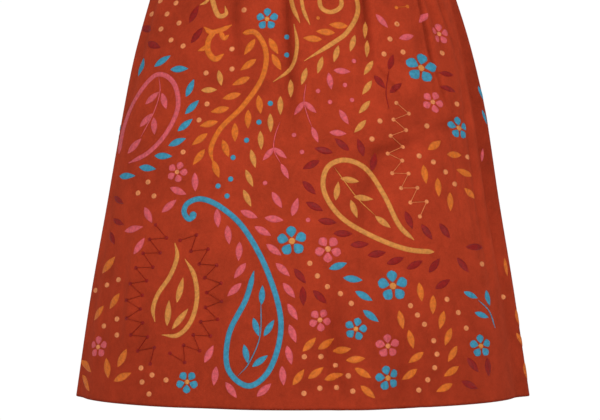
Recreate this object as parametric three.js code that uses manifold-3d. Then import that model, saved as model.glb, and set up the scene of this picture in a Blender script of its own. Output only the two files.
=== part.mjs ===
// An A-line skirt in soft leather, hollow, as it hangs when worn.
// Millimetres, +Z up. The front faces -Y and +X is on the right of someone facing it.
// The origin is the middle of the waist, halfway up the waistband.
// "below" is always a distance down from the waistband's top edge.
// "angle" goes round the skirt: 0 at the front centre, a quarter turn at +X, a half turn at the back.

import * as THREE from "three";
import Module from "manifold-3d";
import { mergeVertices } from "three/addons/utils/BufferGeometryUtils.js";

// ---- Driving dimensions ----

const LENGTH = 775; // waistband's top edge to the hem
const BAND_HEIGHT = 35;
const BAND_THICK = 2.7; // leather folded double
const BAND_PROUD = 0.6; // how far the band stands out over the panels
const LEATHER = 1.8;
const HEM_TURN = 32; // depth of the hem turned up inside
const HEM_THICK = 3.4; // wall where the hem lies double
const HEM_STEP = 3; // height over which the single wall becomes double
const SEAM_GAP = 0.3;
const FLARE_WIDTH = 17; // half the width of the edge that stands out at a side seam
const GRIP = BAND_HEIGHT / 2; // the waist is held halfway up the band

const ZIP_LENGTH = 205; // band's top edge to the end of the zip opening
const ZIP_OPENING = 13; // between the two leather edges
const ZIP_CLOSE = 6; // height over which the opening closes into the seam
const TAPE_WIDTH = 30;
const TAPE_THICK = 1;
const CHAIN_WIDTH = 4.6;
const CHAIN_THICK = 1.8;
const SLIDER_TOP = 3; // below the band's top edge
const SLIDER_LENGTH = 11;
const SLIDER_WIDTH = 9;
const SLIDER_STAND = 1.6; // its face outside the leather
const BAIL_WIDTH = 2.2;
const BAIL_BAR = 1;
const BAIL_ROOM = 2.6; // height and depth of the bail's opening
const TAB_LENGTH = 20;
const TAB_THICK = 1.2;
const TAB_EYE_WIDTH = 3; // inside the eye
const TAB_EYE_DEPTH = 3.2;
const TAB_ARM = 1.2; // beside and above the eye
const TAB_END_RADIUS = 3.4;

const QUARTER = Math.PI / 2;
const HALF_TURN = Math.PI;
const DEGREE = Math.PI / 180;

// Sections of the skirt's outside. front and back are the depths in front of and behind
// the middle. lens is below 0 where the section is pointed at the sides, like a lens.
// right and left are how far the side seams' edges stand out beyond halfWidth.
const SECTIONS = [
  { below: 0, halfWidth: 124, front: 92, back: 100, lens: 0, right: 0, left: 0 },
  { below: 35, halfWidth: 124, front: 92, back: 100, lens: 0, right: 0, left: 0 },
  { below: 100, halfWidth: 146, front: 106, back: 119, lens: 0, right: 3, left: 0 },
  { below: 170, halfWidth: 176, front: 119, back: 136, lens: 0, right: 8, left: 0 },
  { below: 240, halfWidth: 200, front: 130, back: 147, lens: 0, right: 12, left: 0 },
  { below: 320, halfWidth: 220, front: 141, back: 157, lens: 0, right: 16, left: 2 },
  { below: 400, halfWidth: 235.5, front: 152, back: 166, lens: -0.005, right: 18, left: 3 },
  { below: 510, halfWidth: 252, front: 168, back: 179, lens: -0.008, right: 18, left: 6 },
  { below: 645, halfWidth: 274, front: 187, back: 195, lens: -0.012, right: 18, left: 8 },
  { below: 775, halfWidth: 292, front: 205, back: 210, lens: -0.015, right: 19.5, left: 9 },
];

// Soft folds. Each runs down between from and to, on a line between two angles in degrees.
// depth is how far the valley sinks; below 0 it is a ridge. width is half the valley's width.
const FOLDS = [
  { from: 35, to: 520, atTop: -8, atLow: -0.5, width: 13, depth: 6 },
  { from: 35, to: 400, atTop: -40, atLow: -17, width: 17, depth: 6 },
  { from: 35, to: 410, atTop: 26, atLow: 22, width: 9, depth: 6 },
  { from: 35, to: 420, atTop: 51, atLow: 46, width: 9, depth: 6 },
  { from: 35, to: 370, atTop: 46, atLow: 64, width: 10, depth: 5 },
  { from: 250, to: 700, atTop: 74, atLow: 70, width: 9, depth: 4 },
  { from: 330, to: 560, atTop: 52, atLow: 12, width: 26, depth: 5 },
  { from: 380, to: 600, atTop: 36, atLow: 36, width: 48, depth: -6 },
  { from: 560, to: 790, atTop: 8.5, atLow: 10.5, width: 12, depth: 6 },
  { from: 560, to: 860, atTop: 17, atLow: 18, width: 34, depth: -9 },
  { from: 640, to: 800, atTop: 27, atLow: 30, width: 15, depth: 6 },
  { from: 500, to: 760, atTop: -53, atLow: -54, width: 12, depth: -3.5 },
  { from: 540, to: 860, atTop: -22, atLow: -26, width: 36, depth: 6 },
  { from: 35, to: 430, atTop: -72, atLow: -78, width: 16, depth: 5 },
  { from: 35, to: 500, atTop: 112, atLow: 119, width: 15, depth: 6 },
  { from: 35, to: 420, atTop: 138, atLow: 142, width: 12, depth: 6 },
  { from: 60, to: 640, atTop: 161, atLow: 164, width: 16, depth: 6 },
  { from: 60, to: 520, atTop: -160, atLow: -157, width: 14, depth: 6 },
  { from: 35, to: 410, atTop: -136, atLow: -129, width: 13, depth: 6 },
  { from: 35, to: 560, atTop: -109, atLow: -113, width: 16, depth: 6 },
  { from: 520, to: 860, atTop: 128, atLow: 134, width: 30, depth: 8 },
  { from: 560, to: 860, atTop: -148, atLow: -141, width: 32, depth: 8 },
  { from: 540, to: 860, atTop: 172, atLow: 176, width: 38, depth: -8 },
];

// ---- The skirt's outside ----

// 0 below low, 1 above high, and a smooth step between them
function smoothStep(value, low, high) {
  const share = THREE.MathUtils.clamp((value - low) / (high - low), 0, 1);
  return share * share * (3 - 2 * share);
}

// One column of SECTIONS at a height, on a smooth curve that never swings past its rows
function sectionValue(column, below) {
  const last = SECTIONS.length - 2;
  let row = 0;
  while (row < last && below > SECTIONS[row + 1].below) row += 1;
  const slopeOf = (index) => {
    if (index < 0 || index > last) return 0;
    const rise = SECTIONS[index + 1][column] - SECTIONS[index][column];
    return rise / (SECTIONS[index + 1].below - SECTIONS[index].below);
  };
  const slopeAt = (index) => {
    const before = slopeOf(index - 1);
    const after = slopeOf(index);
    if (index > last) return before;
    return before * after > 0 ? (2 * before * after) / (before + after) : 0;
  };
  const height = SECTIONS[row + 1].below - SECTIONS[row].below;
  const t = THREE.MathUtils.clamp((below - SECTIONS[row].below) / height, 0, 1);
  const start = SECTIONS[row][column];
  const end = SECTIONS[row + 1][column];
  return (
    start * (1 + 2 * t) * (1 - t) ** 2 +
    end * t * t * (3 - 2 * t) +
    slopeAt(row) * height * t * (1 - t) ** 2 -
    slopeAt(row + 1) * height * t * t * (1 - t)
  );
}

// The difference of two angles, the short way round
function turnBetween(angle, other) {
  return Math.atan2(Math.sin(angle - other), Math.cos(angle - other));
}

// How many millimetres one radian of angle is worth on the section
function lengthPerRadian(angle, below) {
  const depth = sectionValue(Math.cos(angle) > 0 ? "front" : "back", below);
  return Math.hypot(sectionValue("halfWidth", below) * Math.cos(angle), depth * Math.sin(angle));
}

// How far a fold is developed at a height: it grows over its first third and dies over its last
function foldStrength(fold, below) {
  const third = (fold.to - fold.from) / 3;
  const grown = smoothStep(below, fold.from, fold.from + third);
  return grown * (1 - smoothStep(below, fold.to - third, fold.to));
}

// All folds and the side seams' standing edges: how far the leather lies outside its section
function reliefAt(angle, below) {
  const scale = lengthPerRadian(angle, below);
  let relief = 0;
  for (const fold of FOLDS) {
    const along = THREE.MathUtils.clamp((below - fold.from) / (fold.to - fold.from), 0, 1);
    const centre = THREE.MathUtils.lerp(fold.atTop, fold.atLow, along) * DEGREE;
    const offset = (turnBetween(angle, centre) * scale) / fold.width;
    const valley = (1 - 0.5 * offset * offset) * Math.exp(-0.5 * offset * offset);
    relief -= fold.depth * foldStrength(fold, below) * valley;
  }
  for (const [seam, column] of [[QUARTER, "right"], [-QUARTER, "left"]]) {
    const offset = (turnBetween(angle, seam) * scale) / FLARE_WIDTH;
    relief += sectionValue(column, below) * Math.exp(-offset * offset);
  }
  return relief;
}

// A point of the outside: an ellipse pulled towards a lens, then moved out by its relief
function outsidePoint(angle, below) {
  const depth = sectionValue(Math.cos(angle) > 0 ? "front" : "back", below);
  const width = sectionValue("halfWidth", below);
  const lens = sectionValue("lens", below);
  const x = (width * (Math.sin(angle) + lens * Math.sin(3 * angle))) / (1 - lens);
  const y = (-depth * (Math.cos(angle) - lens * Math.cos(3 * angle))) / (1 - lens);
  const outward = new THREE.Vector2(depth * Math.sin(angle), -width * Math.cos(angle)).normalize();
  const relief = reliefAt(angle, below);
  return new THREE.Vector3(x + outward.x * relief, y + outward.y * relief, GRIP - below);
}

// The same point moved along the leather's own normal, outwards if out is above 0
function leatherPoint(angle, below, out) {
  const turn = 0.004;
  const drop = 0.5;
  const across = outsidePoint(angle + turn, below).sub(outsidePoint(angle - turn, below));
  const down = outsidePoint(angle, below + drop).sub(outsidePoint(angle, below - drop));
  const normal = down.cross(across).normalize();
  return outsidePoint(angle, below).addScaledVector(normal, out);
}

// ---- Walls of leather and cloth ----

// A wall over a grid of rows and columns: an outer skin, an inner skin and a rim round both.
// rows lists heights; edges gives a row's first and last angle; outer and inner give each
// skin's distance outside the leather at a height.
function wallGeometry(rows, columns, edges, outer, inner) {
  const points = [];
  for (const distance of [outer, inner]) {
    for (const below of rows) {
      const [first, last] = edges(below);
      for (let column = 0; column <= columns; column += 1) {
        const angle = THREE.MathUtils.lerp(first, last, column / columns);
        points.push(leatherPoint(angle, below, distance(below)));
      }
    }
  }
  const skin = rows.length * (columns + 1);
  const at = (row, column) => row * (columns + 1) + column;
  const faces = [];
  const quad = (a, b, c, d) => faces.push(a, b, c, a, c, d);
  for (let row = 0; row < rows.length - 1; row += 1) {
    for (let column = 0; column < columns; column += 1) {
      const corners = [
        at(row, column),
        at(row + 1, column),
        at(row + 1, column + 1),
        at(row, column + 1),
      ];
      quad(...corners);
      quad(...corners.map((corner) => corner + skin).reverse());
    }
    quad(at(row, 0), at(row, 0) + skin, at(row + 1, 0) + skin, at(row + 1, 0));
    const [up, low] = [at(row, columns), at(row + 1, columns)];
    quad(up, low, low + skin, up + skin);
  }
  const lowest = rows.length - 1;
  for (let column = 0; column < columns; column += 1) {
    const [start, end] = [at(0, column), at(0, column + 1)];
    quad(start, end, end + skin, start + skin);
    const [hemStart, hemEnd] = [at(lowest, column), at(lowest, column + 1)];
    quad(hemStart, hemStart + skin, hemEnd + skin, hemEnd);
  }
  const geometry = new THREE.BufferGeometry().setFromPoints(points);
  geometry.setIndex(faces);
  geometry.computeVertexNormals();
  return geometry;
}

function evenSteps(first, last, count) {
  return Array.from({ length: count + 1 }, (_, index) => {
    return THREE.MathUtils.lerp(first, last, index / count);
  });
}

const steady = (distance) => () => distance;
const aside = (millimetres, angle, below) => millimetres / lengthPerRadian(angle, below);

// ---- Materials ----

const suede = new THREE.MeshStandardMaterial({ color: 0xa53b22, roughness: 0.92, metalness: 0 });
const tapeCloth = new THREE.MeshStandardMaterial({ color: 0x7a2a1c, roughness: 0.85, metalness: 0 });
const brass = new THREE.MeshStandardMaterial({ color: 0xb08a4a, roughness: 0.35, metalness: 1 });

const skirt = new THREE.Group();

function addPiece(name, geometry, material) {
  const mesh = new THREE.Mesh(geometry, material);
  mesh.name = name;
  skirt.add(mesh);
}

// ---- Panels: the wall doubles where the hem is turned up ----

const PANEL_TOP = BAND_HEIGHT + SEAM_GAP;
const HEM_FOLD_TOP = LENGTH - HEM_TURN;

function panelInside(below) {
  const double = smoothStep(below, HEM_FOLD_TOP - HEM_STEP, HEM_FOLD_TOP);
  return -THREE.MathUtils.lerp(LEATHER, HEM_THICK, double);
}

// The same heights on every panel, so that the seams' edges match
const OPENING_ROWS = evenSteps(PANEL_TOP, ZIP_LENGTH - ZIP_CLOSE, 6);
const PANEL_ROWS = [
  ...OPENING_ROWS,
  ...evenSteps(ZIP_LENGTH, HEM_FOLD_TOP - HEM_STEP, 13),
  HEM_FOLD_TOP,
  LENGTH,
];

function sideGap(below) {
  return aside(SEAM_GAP / 2, QUARTER, below);
}

function buildFront() {
  const edges = (below) => [-QUARTER + sideGap(below), QUARTER - sideGap(below)];
  const wall = wallGeometry(PANEL_ROWS, 54, edges, steady(0), panelInside);
  addPiece("front_panel", wall, suede);
}

// Half the gap between the two back panels: the zip's opening, closing into the seam below it
function backHalfGap(below) {
  const closed = smoothStep(below, ZIP_LENGTH - ZIP_CLOSE, ZIP_LENGTH);
  return THREE.MathUtils.lerp(ZIP_OPENING, SEAM_GAP, closed) / 2;
}

function buildBack(name, side) {
  const edges = (below) => {
    const sideEdge = QUARTER + sideGap(below);
    const middleEdge = HALF_TURN - aside(backHalfGap(below), HALF_TURN, below);
    return side > 0 ? [sideEdge, middleEdge] : [-middleEdge, -sideEdge];
  };
  const wall = wallGeometry(PANEL_ROWS, 26, edges, steady(0), panelInside);
  addPiece(name, wall, suede);
}

function buildWaistband() {
  const rows = [0, BAND_HEIGHT / 2, BAND_HEIGHT];
  const edges = (below) => {
    const end = HALF_TURN - aside(ZIP_OPENING / 2, HALF_TURN, below);
    return [-end, end];
  };
  const inner = steady(BAND_PROUD - BAND_THICK);
  addPiece("waistband", wallGeometry(rows, 72, edges, steady(BAND_PROUD), inner), suede);
}

// ---- Zip: tape inside the leather, chain on the tape, slider closed at the top ----

const TAPE_FACE = BAND_PROUD - BAND_THICK - SEAM_GAP;
const CHAIN_BACK = TAPE_FACE + SEAM_GAP;
const CHAIN_TOP = SLIDER_TOP + SLIDER_LENGTH + SEAM_GAP;
const TAPE_OVERRUN = 7; // below the end of the opening

// A strip down the centre back, which bends at the panels' own rows
function zipStrip(name, width, from, to, columns, outer, inner, material) {
  const edges = (below) => {
    const half = aside(width / 2, HALF_TURN, below);
    return [HALF_TURN - half, HALF_TURN + half];
  };
  const between = [...OPENING_ROWS, ZIP_LENGTH].filter((below) => below < to);
  const rows = [from, ...between, to];
  addPiece(name, wallGeometry(rows, columns, edges, steady(outer), steady(inner)), material);
}

function buildZipStrips() {
  const tapeEnd = ZIP_LENGTH + TAPE_OVERRUN;
  const chainEnd = ZIP_LENGTH - ZIP_CLOSE;
  const tapeInside = TAPE_FACE - TAPE_THICK;
  zipStrip("zip_tape", TAPE_WIDTH, 1, tapeEnd, 8, TAPE_FACE, tapeInside, tapeCloth);
  const chainFace = CHAIN_BACK + CHAIN_THICK;
  zipStrip("zip_chain", CHAIN_WIDTH, CHAIN_TOP, chainEnd, 2, chainFace, CHAIN_BACK, brass);
}

// The slider stands on the upright band, so its places are plain ones:
// x across, y outwards, z up, with the leather's outside at BACK_FACE.
const BACK_FACE = SECTIONS[0].back;
const SLIDER_MIDDLE = GRIP - SLIDER_TOP - SLIDER_LENGTH / 2;
const SLIDER_FACE = BACK_FACE + SLIDER_STAND;
const PIVOT_Y = SLIDER_FACE + BAIL_ROOM / 2;

const wasm = await Module();
wasm.setup();

function toManifold(geometry) {
  const bare = geometry.clone();
  bare.deleteAttribute("normal");
  bare.deleteAttribute("uv");
  const merged = mergeVertices(bare, 1e-4);
  const vertProperties = new Float32Array(merged.attributes.position.array);
  const triVerts = new Uint32Array(merged.index.array);
  return new wasm.Manifold(new wasm.Mesh({ numProp: 3, vertProperties, triVerts }));
}

function fromManifold(solid) {
  const mesh = solid.getMesh();
  const geometry = new THREE.BufferGeometry();
  geometry.setAttribute("position", new THREE.BufferAttribute(mesh.vertProperties, 3));
  geometry.setIndex(new THREE.BufferAttribute(mesh.triVerts, 1));
  geometry.computeVertexNormals();
  return geometry;
}

// An outline drawn in x and z, thick along y and centred on yMiddle
function plateGeometry(outline, thickness, yMiddle) {
  const plate = new THREE.ExtrudeGeometry(outline, {
    depth: thickness,
    bevelEnabled: false,
    curveSegments: 10,
  });
  plate.rotateX(QUARTER);
  plate.translate(0, yMiddle + thickness / 2, 0);
  return plate;
}

// The slider's shield: square at the mouth, narrower below where the closed chain leaves it
function sliderShield() {
  const half = SLIDER_WIDTH / 2;
  const waist = CHAIN_WIDTH / 2 + 0.9;
  const top = SLIDER_MIDDLE + SLIDER_LENGTH / 2;
  const foot = SLIDER_MIDDLE - SLIDER_LENGTH / 2;
  const shield = new THREE.Shape();
  shield.moveTo(-half + 1, top);
  shield.lineTo(-half, top - 1);
  shield.lineTo(-half, top - 0.45 * SLIDER_LENGTH);
  shield.lineTo(-waist, foot + 0.5);
  shield.lineTo(-waist + 0.5, foot);
  shield.lineTo(waist - 0.5, foot);
  shield.lineTo(waist, foot + 0.5);
  shield.lineTo(half, top - 0.45 * SLIDER_LENGTH);
  shield.lineTo(half, top - 1);
  shield.lineTo(half - 1, top);
  shield.closePath();
  return shield;
}

function boxAt(width, depth, height, x, y, z) {
  return new THREE.BoxGeometry(width, depth, height).translate(x, y, z);
}

function buildSlider() {
  const bodyDepth = SLIDER_STAND - CHAIN_BACK;
  const body = plateGeometry(sliderShield(), bodyDepth, SLIDER_FACE - bodyDepth / 2);
  let solid = toManifold(body);
  const footHeight = BAIL_ROOM + BAIL_BAR;
  const sunk = 0.5; // the bail's feet start inside the body
  for (const up of [-1, 1]) {
    const footZ = SLIDER_MIDDLE + (up * (BAIL_ROOM + BAIL_BAR)) / 2;
    const footY = SLIDER_FACE + (footHeight - sunk) / 2;
    const foot = boxAt(BAIL_WIDTH, footHeight + sunk, BAIL_BAR, 0, footY, footZ);
    solid = solid.add(toManifold(foot));
  }
  const archY = SLIDER_FACE + BAIL_ROOM + BAIL_BAR / 2;
  const archLength = BAIL_ROOM + 2 * BAIL_BAR;
  const arch = boxAt(BAIL_WIDTH, BAIL_BAR, archLength, 0, archY, SLIDER_MIDDLE);
  addPiece("zip_slider", fromManifold(solid.add(toManifold(arch))), brass);
}

// The pull tab hangs from its eye's top bar, which turns inside the bail
function buildPullTab() {
  const eyeHalf = TAB_EYE_WIDTH / 2;
  const neck = eyeHalf + TAB_ARM;
  const top = SLIDER_MIDDLE + TAB_ARM / 2;
  const eyeFloor = SLIDER_MIDDLE - TAB_ARM / 2 - TAB_EYE_DEPTH;
  const endCentre = top - TAB_LENGTH + TAB_END_RADIUS;
  const outline = new THREE.Shape();
  outline.moveTo(-neck, top);
  outline.lineTo(-neck, eyeFloor - TAB_ARM);
  outline.lineTo(-TAB_END_RADIUS, endCentre);
  outline.absarc(0, endCentre, TAB_END_RADIUS, HALF_TURN, 2 * HALF_TURN, false);
  outline.lineTo(neck, eyeFloor - TAB_ARM);
  outline.lineTo(neck, top);
  outline.closePath();
  const eye = new THREE.Path();
  eye.moveTo(-eyeHalf, eyeFloor);
  eye.lineTo(eyeHalf, eyeFloor);
  eye.lineTo(eyeHalf, eyeFloor + TAB_EYE_DEPTH);
  eye.lineTo(-eyeHalf, eyeFloor + TAB_EYE_DEPTH);
  eye.closePath();
  outline.holes.push(eye);
  const plate = toManifold(plateGeometry(outline, TAB_THICK, PIVOT_Y));
  addPiece("pull_tab", fromManifold(plate), brass);
}

buildFront();
buildBack("back_panel_right", 1);
buildBack("back_panel_left", -1);
buildWaistband();
buildZipStrips();
buildSlider();
buildPullTab();

export default skirt;
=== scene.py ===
# %% [markdown]
# # An embroidered suede skirt
#
# This lesson dresses a packed A-line skirt. The frame holds its plain solids at their real size:
# a front, two backs, a waistband and a zip. Each step replaces one of them with a finer shell,
# or sews something on. Every length of the garment is written in millimetres, as a pattern
# cutter writes it, and is turned into Blender's metres only when a mesh is made.

# %% Load the frame
import math

import bpy
import numpy as np
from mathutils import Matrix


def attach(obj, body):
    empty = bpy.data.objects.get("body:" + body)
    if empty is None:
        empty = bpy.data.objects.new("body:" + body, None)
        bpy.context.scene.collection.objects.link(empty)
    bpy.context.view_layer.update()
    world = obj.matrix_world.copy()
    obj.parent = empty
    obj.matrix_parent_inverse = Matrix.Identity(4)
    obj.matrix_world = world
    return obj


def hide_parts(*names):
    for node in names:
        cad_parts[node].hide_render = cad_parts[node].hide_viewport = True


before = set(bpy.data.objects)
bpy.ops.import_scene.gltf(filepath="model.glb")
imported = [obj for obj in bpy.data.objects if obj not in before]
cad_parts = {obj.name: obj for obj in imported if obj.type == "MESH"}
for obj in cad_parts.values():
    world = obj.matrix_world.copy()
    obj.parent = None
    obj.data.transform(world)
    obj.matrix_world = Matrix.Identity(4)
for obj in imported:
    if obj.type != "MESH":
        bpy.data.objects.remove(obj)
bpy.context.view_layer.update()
MM = 0.001
print("solids:", sorted(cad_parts))

# %% [markdown]
# ## The camera
#
# A camera far away with a long lens flattens a garment as a shop picture does. It stands level,
# a hand's breadth below the middle of the skirt, so that the front of the hem dips below its
# sides. The view ends above the hips, so the waistband is outside it.

# %% Place the camera
PICTURE_WIDTH, PICTURE_HEIGHT = 600, 420
LENGTH = 775.0  # waistband's top edge to the hem
BAND_HEIGHT = 35.0
GRIP = BAND_HEIGHT / 2  # the origin is this far below the band's top edge
VIEW_DISTANCE = 2800.0
SQUARE = 1.35  # what one picture point covers on the skirt's middle plane
CAMERA_RIGHT = 1.35
CAMERA_OVER_HEM = 251.0
CAMERA_Z = GRIP - LENGTH + CAMERA_OVER_HEM

camera_data = bpy.data.cameras.new("camera")
camera_data.sensor_width = 36
camera_data.lens = 36 * VIEW_DISTANCE / (PICTURE_WIDTH * SQUARE)
camera = bpy.data.objects.new("camera", camera_data)
camera.location = (CAMERA_RIGHT * MM, -VIEW_DISTANCE * MM, CAMERA_Z * MM)
camera.rotation_euler = (math.pi / 2, 0, 0)
bpy.context.scene.collection.objects.link(camera)
bpy.context.scene.camera = camera
print("lens", round(camera_data.lens, 1), "mm")

# %% [markdown]
# ## The form of the skirt
#
# A worn skirt could be simulated, but suede is stiff and its folds are few, so each is listed
# one by one. The outside is a function of two parameters. `angle` goes round, from 0 at the front
# centre to half a turn at the back, and `below` is the distance down from the waistband's top.
# The function takes whole arrays, so a panel, a stitch or a flower can all ask it where the
# leather is.

# %% Sections and folds
# below, half width, depth in front, depth behind, lens, right and left standing seam edges
SECTION_COLUMNS = ("below", "half_width", "front", "back", "lens", "right", "left")
SECTIONS = np.array([
    (0, 124, 92, 100, 0, 0, 0),
    (35, 124, 92, 100, 0, 0, 0),
    (100, 146, 106, 119, 0, 3, 0),
    (170, 176, 119, 136, 0, 8, 0),
    (240, 200, 130, 147, 0, 12, 0),
    (320, 220, 141, 157, 0, 16, 2),
    (400, 235.5, 152, 166, -0.005, 18, 3),
    (510, 252, 168, 179, -0.008, 18, 6),
    (645, 274, 187, 195, -0.012, 18, 8),
    (775, 292, 205, 210, -0.015, 19.5, 9),
], float)
FLARE_WIDTH = 17.0

# from, to, angle at the top, angle at the foot, half width, depth (a ridge where it is below 0)
FOLDS = [
    (35, 520, -8, -0.5, 13, 6),
    (35, 400, -40, -17, 17, 6),
    (35, 410, 26, 22, 9, 6),
    (35, 420, 51, 46, 9, 6),
    (35, 370, 46, 64, 10, 5),
    (250, 700, 74, 70, 9, 4),
    (330, 560, 52, 12, 26, 5),
    (380, 600, 36, 36, 48, -6),
    (560, 790, 8.5, 10.5, 12, 6),
    (560, 860, 17, 18, 34, -9),
    (640, 800, 27, 30, 15, 6),
    (500, 760, -53, -54, 12, -3.5),
    (540, 860, -22, -26, 36, 6),
    (35, 430, -72, -78, 16, 5),
    (35, 500, 112, 119, 15, 6),
    (35, 420, 138, 142, 12, 6),
    (60, 640, 161, 164, 16, 6),
    (60, 520, -160, -157, 14, 6),
    (35, 410, -136, -129, 13, 6),
    (35, 560, -109, -113, 16, 6),
    (520, 860, 128, 134, 30, 8),
    (560, 860, -148, -141, 32, 8),
    (540, 860, 172, 176, 38, -8),
]

# Sharper creases that only this finer shell has, in the same columns
CREASES = [
    (35, 455, -8, -1, 5, 4.0),
    (35, 380, -31.5, -20, 6, 2.4),
    (35, 400, 24.5, 25, 4, 4.4),
    (325, 385, 24.5, 37, 4, 2.6),
    (35, 410, 53.5, 51, 3.6, 4.8),
    (310, 400, 51.5, 58, 3.6, 3.0),
    (35, 390, 49, 47, 6, -2.0),
    (60, 345, 48, 76, 6, 3.0),
    (230, 700, 81, 83.5, 6, 3.0),
    (230, 680, 75, 77, 10, -1.6),
    (385, 470, 76, 10, 27, 3.8),
    (425, 590, 26.5, 15, 10, 2.6),
    (380, 590, 46, 48, 30, -4.5),
    (395, 540, 56.5, 57, 4, 1.4),
    (405, 545, 49.5, 50.5, 4, 1.2),
    (60, 200, -16, -13, 5, 1.5),
    (60, 190, 9, 8, 5, 1.5),
    (60, 210, -58, -52, 6, 1.5),
    (430, 640, 63, 67, 6, 1.3),
    (610, 790, 8.5, 11, 6, 3.0),
    (690, 810, 33, 34, 7, 2.4),
    (700, 790, 28.5, 28, 6, 1.4),
    (700, 790, 19, 20, 8, -1.6),
    (520, 720, -58, -52, 9, -2.0),
    (500, 800, -70, -67, 14, 2.0),
    (120, 330, 150, 153, 6, 2.2),
    (90, 260, -146, -142, 6, 2.2),
    (200, 420, -96, -99, 6, 2.2),
    (300, 520, 103, 106, 6, 2.0),
    (610, 800, 150, 152, 7, 2.4),
    (580, 790, -163, -161, 7, 2.4),
    (35, 330, 164, 163, 6, 2.4),
    (35, 300, -160, -158, 6, 2.4),
    (60, 380, 114, 118, 6, 2.4),
]
print(len(FOLDS), "folds and", len(CREASES), "creases")

# %% The outside of the leather as a function


def smooth_step(value, low, high):
    """0 below low, 1 above high, and 3s^2 - 2s^3 between them."""
    share = np.clip((value - low) / (high - low), 0, 1)
    return share * share * (3 - 2 * share)


def turn_from(middle, angle):
    """The way round from a middle to an angle, between half a turn back and half a turn on."""
    return np.arctan2(np.sin(angle - middle), np.cos(angle - middle))


def row_slopes():
    """Slopes of a curve that never swings past its rows: the harmonic mean of both sides."""
    steps = np.diff(SECTIONS[:, 1:], axis=0) / np.diff(SECTIONS[:, :1], axis=0)
    before, after = steps[:-1], steps[1:]
    same_way = before * after > 0
    total = np.where(same_way, before + after, 1)
    inner = np.where(same_way, 2 * before * after / total, 0)
    return np.vstack([np.zeros(inner.shape[1]), inner, steps[-1]])


ROW_SLOPES = row_slopes()


def section(below):
    """Every column of SECTIONS at each height: a cubic between rows with ROW_SLOPES."""
    below = np.asarray(below, float)
    row = np.clip(np.searchsorted(SECTIONS[:, 0], below, "left") - 1, 0, len(SECTIONS) - 2)
    height = (SECTIONS[row + 1, 0] - SECTIONS[row, 0])[..., None]
    t = np.clip((below - SECTIONS[row, 0])[..., None] / height, 0, 1)
    values = (
        SECTIONS[row, 1:] * (1 + 2 * t) * (1 - t) ** 2
        + SECTIONS[row + 1, 1:] * t * t * (3 - 2 * t)
        + ROW_SLOPES[row] * height * t * (1 - t) ** 2
        - ROW_SLOPES[row + 1] * height * t * t * (1 - t)
    )
    return dict(zip(SECTION_COLUMNS[1:], np.moveaxis(values, -1, 0), strict=True))


def length_per_radian(angle, below):
    """How many millimetres one radian is worth: the ellipse's speed at that angle."""
    at = section(below)
    depth = np.where(np.cos(angle) > 0, at["front"], at["back"])
    return np.hypot(at["half_width"] * np.cos(angle), depth * np.sin(angle))


def fold_relief(angle, below, rows=(*FOLDS, *CREASES)):
    """Millimetres that the folds and creases lift (above 0) or sink (below 0) the leather."""
    scale = length_per_radian(angle, below)
    total = np.zeros(np.broadcast(angle, below).shape)
    for start, end, top, foot, width, depth in rows:
        third = (end - start) / 3
        strength = smooth_step(below, start, start + third)
        strength = strength * (1 - smooth_step(below, end - third, end))
        along = np.clip((below - start) / (end - start), 0, 1)
        centre = np.radians(top + (foot - top) * along)
        turn = turn_from(centre, angle)
        offset = turn * scale / width
        total -= depth * strength * (1 - 0.5 * offset**2) * np.exp(-0.5 * offset**2)
    return total


def relief(angle, below):
    """Millimetres outside the plain section: all folds, and the standing edges of the seams."""
    at, scale = section(below), length_per_radian(angle, below)
    total = fold_relief(angle, below)
    for seam, column in ((math.pi / 2, "right"), (-math.pi / 2, "left")):
        turn = turn_from(seam, angle)
        total += at[column] * np.exp(-((turn * scale / FLARE_WIDTH) ** 2))
    return total


def outside(angle, below):
    """A point on the outside, in millimetres: an ellipse pulled towards a lens, plus relief."""
    angle, below = np.broadcast_arrays(np.asarray(angle, float), np.asarray(below, float))
    at = section(below)
    depth = np.where(np.cos(angle) > 0, at["front"], at["back"])
    x = at["half_width"] * (np.sin(angle) + at["lens"] * np.sin(3 * angle)) / (1 - at["lens"])
    y = -depth * (np.cos(angle) - at["lens"] * np.cos(3 * angle)) / (1 - at["lens"])
    out = np.stack([depth * np.sin(angle), -at["half_width"] * np.cos(angle)], -1)
    out /= np.linalg.norm(out, axis=-1, keepdims=True)
    rise = relief(angle, below)
    return np.stack([x + out[..., 0] * rise, y + out[..., 1] * rise, GRIP - below], -1)


def leather(angle, below, out=0.0):
    """Points `out` millimetres outside the leather along its normal, in metres."""
    turn, drop = 0.004, 0.5
    across = outside(angle + turn, below) - outside(angle - turn, below)
    down = outside(angle, below + drop) - outside(angle, below - drop)
    normal = np.cross(down, across)
    normal /= np.linalg.norm(normal, axis=-1, keepdims=True)
    return (outside(angle, below) + normal * np.asarray(out)[..., None]) * MM


print("hem half width", round(float(outside(math.pi / 2, LENGTH)[0])), "mm")

# %% [markdown]
# ## Making a mesh from arrays
#
# Every new piece is a set of grids. `grid_faces` joins neighbouring points of one grid, and a
# piece can hold hundreds of grids, one for each petal or stitch. The points go into the mesh
# in one call. A UV map in millimetres goes with them, so that a thread or a weave can follow
# the piece.

# %% Mesh helpers


def grid_faces(rows, columns, start=0):
    """Quads between the points of a grid of rows by columns, numbered from start."""
    index = start + np.arange(rows * columns).reshape(rows, columns)
    corners = (index[:-1, :-1], index[1:, :-1], index[1:, 1:], index[:-1, 1:])
    return np.stack(corners, -1).reshape(-1, 4)


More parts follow.
